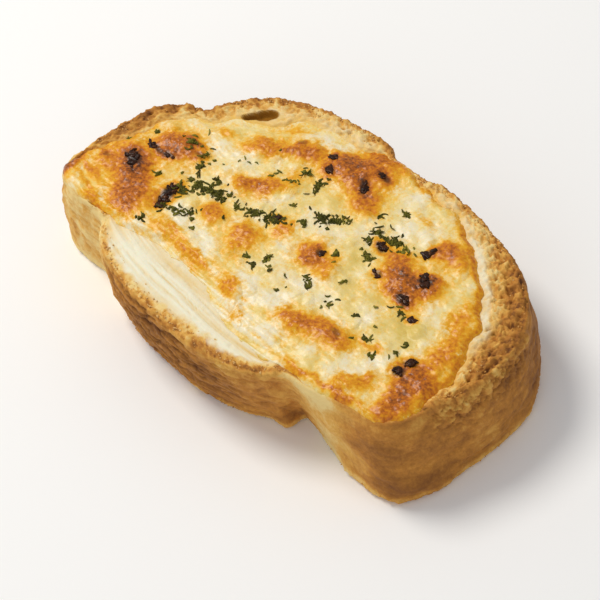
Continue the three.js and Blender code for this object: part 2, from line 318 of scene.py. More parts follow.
def makeBakedBread(values):
    # oven-baked wheat bread: open matte crumb, drier and slightly shiny crust
    material, add, bake, crust, hollow, streak, butter = newMaterial(
        "bakedBread", "bake", "crust", "hollow", "streak", "butter")
    place = add("TexCoord").outputs["Object"]
    mottle = add("TexNoise", {
        "Vector": place, "Scale": perMetre(values["mottle"]), "Detail": 6.0, "Roughness": 0.62})
    flour = add("TexNoise", {
        "Vector": place, "Scale": perMetre(values["flour"]), "Detail": 3.0, "Roughness": 0.7})
    mottled, floured = [add("MapRange", {
        "Value": texture, "From Min": 0.3, "From Max": 0.7, "To Min": -reach, "To Max": reach})
        for texture, reach in ((mottle, values["mottleReach"]), (flour, values["flourReach"]))]
    shift = add("Math", {0: mottled, 1: floured}, operation="ADD")
    baked = add("Math", {0: bake, 1: shift}, operation="ADD", use_clamp=True)
    crustColour = add("ValToRGB", {"Fac": baked}, values["crustTones"])
    edge = add("Math", {0: crust, 1: 1.3, 2: shift}, operation="MULTIPLY_ADD")
    crusted = add("Math", {0: edge, 1: 0.08}, operation="SUBTRACT", use_clamp=True)
    # layers over the crumb: how much of each shows, and its colour
    layers = [(streak, linear(values["crumbStreakAndShade"])), (butter, linear(values["butter"])),
              (crusted, crustColour), (hollow, linear(values["hole"]))]
    colour = linear(values["crumb"])
    for share, layer in layers:
        colour = add("Mix", {0: share, 6: colour, 7: layer}, data_type="RGBA")
    rough = add("MapRange", {
        "Value": crust, "To Min": values["roughness"][0], "To Max": values["roughness"][1]})
    bump = add("Bump", {"Height": flour, "Strength": 0.5, "Distance": values["flourDepth"] * mm})
    shader = add("BsdfPrincipled", {
        "Base Color": colour, "Roughness": rough, "IOR": 1.45, "Specular IOR Level": values["gloss"],
        "Subsurface Weight": values["scatter"], "Subsurface Radius": (1.0, 0.55, 0.3),
        "Subsurface Scale": values["scatterDepth"] * mm, "Normal": bump})
    add("OutputMaterial", {"Surface": shader})
    return material


scrapFinishes = {
    # chopped parsley dried by the grill: dark, dull green with lighter olive scraps
    "bakedParsley": {
        "tones": [(0.0, "#3b390d"), (0.35, "#5b5817"), (0.7, "#817928"), (1.0, "#a8984a")],
        "grain": 0.5, "vary": 0.5, "roughness": 0.55, "gloss": 0.15, "coat": 0.0, "bump": 0.05},
    # burnt blisters: brownish-black shells that catch a little light
    "charredCheese": {
        "tones": [(0.0, "#210c02"), (0.5, "#3a1b08"), (0.8, "#56300f"), (1.0, "#744a20")],
        "grain": 0.9, "vary": 1.6, "roughness": 0.42, "gloss": 0.14, "coat": 0.12, "bump": 0.25},
    # crumbs of crust: dry and matte, cream to dark brown
    "toastedCrumbs": {
        "tones": [(0.0, "#e3bd7c"), (0.35, "#cf974e"), (0.7, "#a26c33"), (1.0, "#6c4424")],
        "grain": 0.5, "vary": 0.7, "roughness": 0.8, "gloss": 0.15, "coat": 0.0, "bump": 0.1},
}


def makeScrapMaterial(name):
    values = scrapFinishes[name]
    material, add, scrap = newMaterial(name, "scrap")
    place = add("TexCoord").outputs["Object"]
    grain = add("TexNoise", {"Vector": place, "Scale": perMetre(values["grain"]), "Detail": 2.0})
    offset = add("Math", {0: grain, 1: 0.5}, operation="SUBTRACT")
    toned = add("Math", {
        0: offset, 1: values["vary"], 2: scrap}, operation="MULTIPLY_ADD", use_clamp=True)
    tones = add("ValToRGB", {"Fac": toned}, values["tones"])
    bump = add("Bump", {"Height": grain, "Strength": 0.5, "Distance": values["bump"] * mm})
    shader = add("BsdfPrincipled", {
        "Base Color": tones, "Roughness": values["roughness"], "IOR": 1.47,
        "Specular IOR Level": values["gloss"], "Coat Weight": values["coat"], "Coat Roughness": 0.2,
        "Normal": bump})
    add("OutputMaterial", {"Surface": shader})
    return material


# the outline is the one that the solids have
sliceShape = {
    "faceHeight": 26.2,         # mm, upper cut face under the cheese
    "faceSwell": 0.35,
    "rimRise": 1.3,             # the bare crumb beside the cheese stands higher
    "riseOver": (-1.6, 2.4),    # mm past the cheese's edge, over which it rises
    "lowRim": (28, 55, 0.35),   # a lower stretch: direction, spread and share
    "rimRadius": 1.1,
    "footRadius": 1.8,
    "wallBulge": 0.9,
    "creaseSoftness": 0.8,
    "farOut": 80.0,             # mm, past the outline everywhere
    # each swelling: x, y, half length, half width, squareness, then how far it moves along and
    # how much longer and wider it gets down to the lower face
    "swellings": [
        (0, 1.2, 67.2, 23.4, 2.2, 0, 1, 0),
        (-36.3, -14.6, 32.2, 14.8, 6.2, -0.5, 0.5, 2),
        (-7.9, -3.3, 46, 37.3, 2.7, -3, -4, -2.4),
        (6, 5.6, 61.4, 36.2, 2.6, 1, 1.5, 0),
        (49.6, -2.8, 15.2, 21.2, 3.4, 2, 3.4, 3.6),
    ],
    # each dent: direction in degrees, flat, slope, depth, lean and how much deeper at the foot
    "dents": [
        (87, 9, 5, 1.9, 0, -0.6),
        (165, 0, 4, 1.2, 0, 0),
        (-147, 0, 6, 1, 0, 0.8),
        (-43, 0, 10, 0.6, 4.5, 7.4),
    ],
    "cheeseMargin": 7.0,        # mm, bare crumb between the cheese's edge and the crust
    # direction and spread in degrees, and the change in mm
    "marginChanges": [(88, 24, -6.3), (26, 42, 6.5), (-27, 38, -6.8), (-157, 21, -6.6), (147, 15, 5.0),
                      (52, 24, -2.2), (2, 22, -1.3)],
    # where the cheese ends before the front crumb: y in mm, by direction in degrees
    "frontLine": {-160: -60, -152: -34, -147: -30, -143: -26.5, -138: -24.6, -125: -24, -105: -24.4,
                  -93: -26.6, -82: -28.6, -60: -29.3, -42: -29.5, -36: -34, -25: -60},
    "edgeWave": 1.3,            # mm, unevenness of the cheese's edge
    "edgeInset": 0.9,           # mm, the cheese stays this far inside the crust
    # where cheese and crumb melt together: direction, fully within and no more past so many degrees
    "frontMelt": (-97, 44, 58),
    "backMelt": (136, 28, 42),
    "directions": 1440,         # in which the edges are worked out
    # long ridges of the front crumb: spacing in mm, octaves and seed
    "ridges": [((30.0, 1.7, 1.0), 3, 21.0), ((18.0, 0.8, 1.0), 2, 23.0)],
    "ridgeDepth": 0.6,          # mm
}


def outlineField(x, y, depth):
    softness = sliceShape["creaseSoftness"]
    total = 0
    for cx, cy, long, wide, square, moves, longer, wider in sliceShape["swellings"]:
        halfLong = long + longer * depth
        halfWide = wide + wider * depth
        along = np.abs(x - cx - moves * depth) / halfLong
        across = np.abs(y - cy) / halfWide
        share = (along ** square + across ** square) ** (1 / square)
        total = total + np.exp((1 - share) * np.sqrt(halfLong * halfWide) / softness)
    return -softness * np.log(total)


def outlineReach(angle, depth):
    angle, depth = np.broadcast_arrays(np.asarray(angle, float), np.asarray(depth, float))
    ux, uy = np.cos(np.radians(angle)), np.sin(np.radians(angle))
    outside = np.full(angle.shape, sliceShape["farOut"])
    for _ in range(30):         # steps of 2 mm inward until the crust is passed
        empty = outlineField(ux * (outside - 2), uy * (outside - 2), depth) > 0
        outside = np.where(empty, outside - 2, outside)
    inside = outside - 2
    for _ in range(9):
        middle = (inside + outside) / 2
        within = outlineField(ux * middle, uy * middle, depth) < 0
        inside = np.where(within, middle, inside)
        outside = np.where(within, outside, middle)
    reach = inside
    for at, flat, slope, deep, lean, deeper in sliceShape["dents"]:
        offset = np.abs(turnBetween(angle, at + lean * depth)) - flat
        reach = reach - (deep + deeper * depth) * bell(np.maximum(offset, 0), slope)
    return reach


def byDirection(table, angle):
    # a value given for a few directions, in degrees, at any direction
    directions = sorted(table)
    return np.interp(turnBetween(angle, 0), directions, [table[at] for at in directions], period=360)


def makeEdges():
    # how far the crust and the cheese reach in each direction
    angle = np.arange(sliceShape["directions"]) * 360 / sliceShape["directions"]
    margin = sliceShape["cheeseMargin"]
    for at, spread, change in sliceShape["marginChanges"]:
        margin = margin + change * towards(angle, at, spread)
    outline = outlineReach(angle, 0)
    slope = np.minimum(np.sin(np.radians(angle)), -0.05)
    toFront = byDirection(sliceShape["frontLine"], angle) / slope
    cheese = np.minimum(outline - margin, toFront)
    cheese += sliceShape["edgeWave"] * cloud(around(angle, cheese, 0.0), 6.0, 4, 5.0)
    limit = outline - sliceShape["edgeInset"] + 0.5 * cloud(around(angle, outline, 0.0), 3.0, 3, 11.0)
    return angle, outline, np.minimum(cheese, limit)


edgeAngles, crustEdge, cheeseEdge = makeEdges()


def crustReach(angle):
    return np.interp(angle, edgeAngles, crustEdge, period=360)


def cheeseReach(angle):
    return np.interp(angle, edgeAngles, cheeseEdge, period=360)


def faceHeight(x, y):
    return sliceShape["faceHeight"] + sliceShape["faceSwell"] * np.sin(x / 17 + 0.6) * np.cos(y / 14)


def frontShare(angle):
    # 1 beside the front crumb, where cheese and crumb melt into each other, and 0 elsewhere
    at, full, none = sliceShape["frontMelt"]
    return smooth(none, full, np.abs(turnBetween(angle, at)))


def backShare(angle):
    # the same along the back, where they run together a little less
    at, full, none = sliceShape["backMelt"]
    return 0.85 * smooth(none, full, np.abs(turnBetween(angle, at)))


def crumbRise(angle, radius):
    # how far the bare crumb stands above the face under the cheese
    at, spread, lower = sliceShape["lowRim"]
    rise = sliceShape["rimRise"] * (1 - 0.8 * frontShare(angle))
    rise = rise * (1 - lower * towards(angle, at, spread))
    return rise * smooth(*sliceShape["riseOver"], radius - cheeseReach(angle))


def fibreLines(x, y, toRim):
    # long ridges of the front crumb, which the cheese's edge over it follows; about -1 to 1
    place = np.stack([x, 0.3 * toRim + 0.7 * y + 0.05 * x, x * 0], -1)
    return sum(0.6 * cloud(place, *ridge) for ridge in sliceShape["ridges"])


breadValues = {
    "columns": 790,
    "bareRows": 40,
    "wallRows": 56,
    "baseRows": 12,
    "tuckedIn": 1.5,            # mm, the fine rows of the crumb start this far under the cheese
    "belly": (-14, -42, 48, 24),  # mm, creased dark crust at the front, darkened in its creases as painted shade: x, y, half sizes
    # stretches of the rim, in degrees: where each begins, is full, is still full and ends
    "softLip": (-48, -36, -14, -2), "tornSide": (-15, -4, 35, 75), "creamSide": (4, 18, 35, 75),
    "tornWall": (12, 26),       # degrees, where the tearing of the wall fades
    # direction and spread: a streaky corner, a drier rim and a corner soaked with butter
    "corner": (-157, 20), "dryRim": (122, 16), "wetCorner": (-151, 17),
    "foldDepth": 1.5,           # mm, long leaning folds of the crust
    "creaseDepth": 0.75,        # mm, winding creases on the dark side
    "flakeDepth": 0.16,
    "rimTear": 0.9,             # mm, ragged edge between crumb and crust
    # how far in from the edge the crumb is toasted, in mm, by direction in degrees
    "toastWidth": {-180: 9.0, -170: 5.0, -160: 1.8, -150: 1.6, -135: 1.4, -120: 2.4, -105: 3.2, -90: 4.6,
                   -75: 3.8, -60: 2.8, -45: 2.6, -35: 3.0, -12: 4.0, 0: 6.0, 12: 10.5, 30: 12.0, 40: 8.5,
                   50: 5.0, 60: 2.2, 75: 2.2, 100: 3.4, 120: 2.8, 140: 5.5, 160: 5.2, 168: 4.6, 175: 8.0},
    # and how dark
    "toastDarkness": {-180: 0.4, -165: 0.2, -150: 0.05, -130: 0.02, -118: 0.05, -100: 0.13, -90: 0.22,
                      -75: 0.24, -60: 0.32, -45: 0.34, -30: 0.2, 0: 0.22, 12: 0.37, 32: 0.34, 45: 0.05,
                      52: 0.0, 60: -0.16, 75: -0.1, 90: 0.06, 100: 0.14, 120: -0.04, 135: 0.08, 160: 0.16,
                      172: 0.38},
    "roughDepth": 1.0,          # mm, uneven crumb elsewhere
    "tornDepth": 0.75,          # mm, torn crumb and crust at the right
    "poreDepth": 1.0,
    "poreSpacing": 1.9,
    # air hole: two ovals that make it pointed at one end, each x, y, half sizes, turn
    "airHole": [(-40.7, 24.8, 3.3, 1.9, 47.0), (-42.8, 22.5, 3.6, 1.15, 47.0)],
    "holeDepth": 2.2,
    # unevenness of crust and crumb: spacing in mm (along x, y and z), octaves and seed
    "patterns": {
        "winding": ((9.0, 9.0, 2.6), 3, 3.0), "flakes": ((2.4, 2.4, 1.2), 4, 9.0),
        "tears": (2.4, 3, 15.0), "fineTears": (0.9, 2, 19.0), "pits": ((2.4, 2.4, 1.8), 3, 37.0),
        "lumps": (2.6, 4, 33.0), "streakLines": ((3.2, 3.2, 24.0), 2, 45.0), "crumb": (2.6, 3, 25.0),
        "fineCrumb": (1.0, 2, 27.0), "openness": (6.0, 2, 29.0), "holeEdge": (2.0, 2, 8.0),
        "blotches": (2.8, 4, 31.0), "specks": (1.2, 3, 53.0)},
    # folds that lean: mm along for each mm up, then the same
    "folds": (0.65, (9.0, 9.0, 6.0), 2, 0.0),
    "broadFolds": (1.2, (18.0, 18.0, 14.0), 2, 47.0),
    # how dark the crust is, by direction in degrees: its baking, and painted light and shade of how each
    # side of the wall is lit
    "bakeAndShadeDarkness": {
        -180: 0.6, -172: 0.4, -163: 0.18, -155: 0.14, -147: 0.12, -140: 0.14, -130: 0.46, -120: 0.58,
        -100: 0.56, -88: 0.5, -80: 0.57, -70: 0.47, -60: 0.46, -50: 0.42, -43: 0.4, -32: 0.34, -22: 0.46,
        -10: 0.49, 0: 0.43, 10: 0.49, 20: 0.57, 40: 0.6, 55: 0.48, 75: 0.5, 100: 0.5, 120: 0.54,
        135: 0.6, 160: 0.6},
    # paler and darker places on the wall, pale crust and painted light and shade: direction and spread,
    # depth and spread (0 to 1), change
    "wallMarksLightAndShade": [
        # the second is a painted highlight along a fold and the fourth painted shade low on the lip; the
        # first and third are paler crust
        (-36, 13, 0.0, 0.5, -0.38), (-31, 10, 0.5, 9.0, -0.12), (-34.5, 6, 0.75, 0.45, -0.25),
        (-16, 9, 0.55, 0.35, 0.12)],
}


def makeBreadGrid(values):
    # rings from the middle of the upper face out, down the wall and back under the slice
    corners = around(edgeAngles, crustEdge, 0.0)
    steps = np.linalg.norm(np.roll(corners, -1, axis=0) - corners, axis=1)
    passed = np.concatenate([[0], np.cumsum(steps)])
    angle = np.interp(np.arange(values["columns"]) * passed[-1] / values["columns"], passed,
                      np.append(edgeAngles, 360.0))
    edge = outlineReach(angle, 0)
    rim = edge - sliceShape["rimRadius"]
    covered = np.minimum(cheeseReach(angle), rim) - values["tuckedIn"]
    rings, kinds = [], []

    def addRing(radius, height, kind):
        rings.append(around(angle, radius, height))
        kinds.append(kind)

    inner = [covered * 0.4, covered * 0.8]
    inner += [covered + (rim - covered) * share for share in np.linspace(0, 1, values["bareRows"])]
    for radius in inner:
        place = around(angle, radius, 0)
        addRing(radius, faceHeight(place[:, 0], place[:, 1]) + crumbRise(angle, radius), 0)
    top = rings[-1][:, 2] - sliceShape["rimRadius"]
    for turn in (30, 60):
        radians = math.radians(turn)
        addRing(rim + sliceShape["rimRadius"] * math.sin(radians),
                top + sliceShape["rimRadius"] * math.cos(radians), 1)
    footRadius = sliceShape["footRadius"]
    for depth in np.linspace(0, 1, values["wallRows"]):
        radius = outlineReach(angle, depth) + sliceShape["wallBulge"] * math.sin(math.pi * depth)
        addRing(radius, top + (footRadius - top) * depth, 1)
    foot = outlineReach(angle, 1.0)
    for turn in (30, 60, 90):
        radians = math.radians(turn)
        addRing(foot - footRadius * (1 - math.cos(radians)), footRadius * (1 - math.sin(radians)), 1)
    for share in np.linspace(0.985, 0.05, values["baseRows"]):
        addRing((foot - footRadius) * share, 0.0, 2)
    kinds = np.repeat(np.array(kinds)[:, None], values["columns"], 1)
    return angle, rim, top, foot, np.array(rings), kinds


def makeBread(values):
    angle, rim, top, foot, flat, kinds = makeBreadGrid(values)
    onFace, onWall, onBase = [(kinds == kind).astype(float) for kind in (0, 1, 2)]
    x, y, z = flat[..., 0], flat[..., 1], flat[..., 2]
    radius = np.hypot(x, y)
    toRim = rim - radius        # mm inward from the rounded edge of the face
    fromCheese = radius - cheeseReach(angle)
    depth = np.clip((top - z) / (top - sliceShape["footRadius"]), 0, 1)
    bellyX, bellyY, bellyLong, bellyWide = values["belly"]
    belly = bell(y - bellyY, bellyWide) * bell(x - bellyX, bellyLong) * onWall
    direction = turnBetween(angle, 0)
    front = frontShare(angle)
    soft, tornSide, creamSide = [stretch(direction, *values[key])
                                 for key in ("softLip", "tornSide", "creamSide")]
    corner = towards(angle, *values["corner"]) * onWall
    underCheese = smooth(2.5, 0.8, crustReach(angle) - cheeseReach(angle))
    fullTo, goneBy = values["tornWall"]
    tornWall = onWall * smooth(0.5, 0.1, depth) * smooth(goneBy, fullTo, direction)
    torn = tornSide * (onFace * smooth(0.0, 3.5, fromCheese) + tornWall)

    # crust: leaning folds, winding creases and flakes
    pattern = {name: cloud(flat, *shape) for name, shape in values["patterns"].items()}
    folds, broadFolds = [cloud(flat + z[..., None] * (lean, 0, 0), *shape)
                         for lean, *shape in (values["folds"], values["broadFolds"])]
    creases = np.exp(-(pattern["winding"] / 0.16) ** 2)
    tears = 0.6 * pattern["tears"] + 0.5 * pattern["fineTears"]
    torns = 0.9 * pattern["lumps"] - np.exp(-(pattern["pits"] / 0.2) ** 2) + 0.3
    softEnds = 0.4 + 0.6 * smooth(0, 0.05, depth) * smooth(1, 0.97, depth)
    shift = 0.5 * values["foldDepth"] * (folds * (1 - 0.4 * soft) + 2.2 * broadFolds * soft)
    shift -= values["creaseDepth"] * creases * (0.3 + belly) * (1 - 0.35 * soft)
    shift += values["flakeDepth"] * pattern["flakes"] * (0.4 + 1.6 * belly + 0.4 * soft)
    shift += values["flakeDepth"] * 2.0 * corner * pattern["streakLines"]
    shift *= onWall * softEnds
    fromRim = np.where(onFace > 0, toRim, top + sliceShape["rimRadius"] - z)
    nearRim = np.exp(-(fromRim / 1.5) ** 2) * (onFace + onWall)
    shift += nearRim * values["rimTear"] * (tears - 0.15) * (1 - 0.75 * soft) * (1 - 0.8 * underCheese)
    shift += (0.5 + 0.4 * soft) * np.exp(-((z - sliceShape["footRadius"]) / 1.2) ** 2) * tears * onWall

    # crumb: streaks along the front edge, pores elsewhere
    bare = onFace * smooth(-0.6 - 2.4 * front, 1.8 - 2.3 * front, fromCheese)
    streaks = fibreLines(x, y, toRim)
    rough = 0.7 * pattern["crumb"] + 0.5 * pattern["fineCrumb"]
    poreDistance, poreTag = cells(flat, values["poreSpacing"], 4.0)
    poreSize = 0.1 + 0.9 * np.clip(poreTag - 0.5, 0, 1) * 2
    openCrumb = (1 - 0.9 * front) * (1 - 0.8 * soft) * smooth(-0.2, 0.3, pattern["openness"])
    pores = smooth(poreSize, poreSize * 0.4, poreDistance + 0.4 * rough) * (poreTag > 0.5) * openCrumb
    shift += bare * sliceShape["ridgeDepth"] * streaks * front
    calm = (1 - 0.9 * front) * (1 - 0.7 * soft) * (1 - 0.6 * tornSide * smooth(4.0, 1.5, fromCheese))
    shift += bare * values["roughDepth"] * rough * calm
    shift += values["tornDepth"] * torn * torns * (bare + onWall * softEnds)
    shift -= bare * values["poreDepth"] * pores
    hole = np.minimum.reduce([turnedShare(x, y, *oval) for oval in values["airHole"]])
    hole = hole + 0.06 * pattern["holeEdge"]
    shift *= 1 - 0.8 * onFace * smooth(2.0, 1.3, hole)
    grid = flat + gridNormals(flat) * shift[..., None]
    basePores = smooth(poreSize * 1.2, poreSize * 0.3, poreDistance) * onBase
    inward = smooth(0.0, 0.02, 1 - radius / (foot - sliceShape["footRadius"]))
    grid[..., 2] += inward * values["poreDepth"] * 1.1 * basePores
    grid[..., 2] = np.maximum(grid[..., 2] - values["holeDepth"] * onFace * smooth(1.1, 0.6, hole), 0)
    hole = onFace * smooth(1.2, 1.0, hole)

    # how baked, how crusty, how open and how buttered each point is, with painted light and shade in part of
    # it
    blotches = pattern["blotches"]
    wallBake = byDirection(values["bakeAndShadeDarkness"], angle)
    for at, spread, deep, high, change in values["wallMarksLightAndShade"]:
        wallBake = wallBake + change * towards(angle, at, spread) * bell(depth - deep, high)
    wallBake -= (0.1 + 0.12 * front) * smooth(0.2, 0.0, depth) + 0.24 * smooth(0.93, 1.0, depth)
    # on the soft lip: lighter and darker along the broad folds, and darker low on the wall, as painted light
    # and shade of the folds and the shaded underside
    wallBake += soft * (0.24 * broadFolds + 0.1 * smooth(0.55, 0.85, depth))
    # darker in the winding creases and where the leaning folds sink, as painted shade; the blotches and the
    # corner's streaks are the crust's own
    wallBake += 0.2 * creases * (0.4 + belly) * (1 - 0.5 * soft) + 0.12 * blotches * (1 - 0.4 * soft)
    wallBake += 0.16 * corner * pattern["streakLines"] - 0.1 * folds * (1 - 0.4 * soft)
    wallBake -= 0.2 * torn * torns
    toastShare = toRim / byDirection(values["toastWidth"], angle)
    toasted = smooth(1.25, 0.4, toastShare + 0.35 * blotches)
    toasted = toasted * (1 - 0.8 * creamSide * smooth(3.8, 1.6, fromCheese + 0.6 * blotches))
    faceBake = 0.1 + byDirection(values["toastDarkness"], angle) * smooth(0.85, 0.12, toastShare)
    # the crumb is lighter where it stands up and darker in its dips, as painted shade
    faceBake += 0.25 * blotches - 0.25 * rough * (1 - 0.5 * torn) - 0.12 * torn * torns
    faceBake += 0.14 * smooth(1.4, 0.0, toRim) * (1 - underCheese) * (1 - 0.7 * front)
    faceBake += 0.24 * toasted * smooth(0.2, 0.5, pattern["specks"]) * (1 - underCheese)
    bake = onWall * wallBake + onFace * faceBake + onBase * (0.3 + 0.15 * blotches)
    crust = onWall + onFace * toasted * 0.95 + onBase * (0.35 + 0.3 * blotches)
    # the air hole and the pores take that golden-brown: partly toasting, partly painted shade in the hollows
    hollow = hole + 0.8 * bare * pores + 0.5 * basePores
    # golden streaks of the crumb: partly its own colour, partly painted shade in its dips and between the
    # front ridges
    streak = 0.12 + 0.3 * (1 - front) * (1 - tornSide)
    streak = streak - 0.95 * streaks * front - 0.9 * rough * (1 - 0.9 * front)
    butter = np.exp(-np.maximum(fromCheese, 0) / (5.0 - 1.5 * front))
    butter = butter * (1 - 0.65 * front) * (1 - 0.7 * creamSide)
    butter = butter * (1 - 0.4 * towards(angle, *values["dryRim"]))
    butter = np.maximum(butter, 0.85 * torn * smooth(2.0, 4.2, fromCheese))
    butter = np.maximum(butter, 0.5 * front * smooth(3.8, 1.0, toRim + 1.5 * blotches))
    butter = np.maximum(butter, 0.6 * towards(angle, *values["wetCorner"])) * onFace
    fields = {"bake": bake, "crust": crust, "hollow": hollow, "streak": streak, "butter": butter}

    rows, columns = kinds.shape
    index = 1 + np.arange(rows * columns).reshape(rows, columns)
    following = np.roll(index, -1, axis=1)
    faces = np.stack([index[:-1], index[1:], following[1:], following[:-1]], -1).reshape(-1, 4).tolist()
    last = rows * columns + 1
    faces += [(0, a, b) for a, b in zip(index[0].tolist(), following[0].tolist())]
    faces += [(a, last, b) for a, b in zip(index[-1].tolist(), following[-1].tolist())]
    points = np.concatenate([[(0, 0, faceHeight(0, 0))], grid.reshape(-1, 3), [(0, 0, 0)]])
    for name, field in fields.items():
        field = np.clip(field, 0, 1)
        fields[name] = np.concatenate([[field[0].mean()], field.ravel(), [field[-1].mean()]])
    makePiece("bread_slice", points, faces, fields, makeBakedBread(breadFinish), "bread")


makeBread(breadValues)
print("bread made")


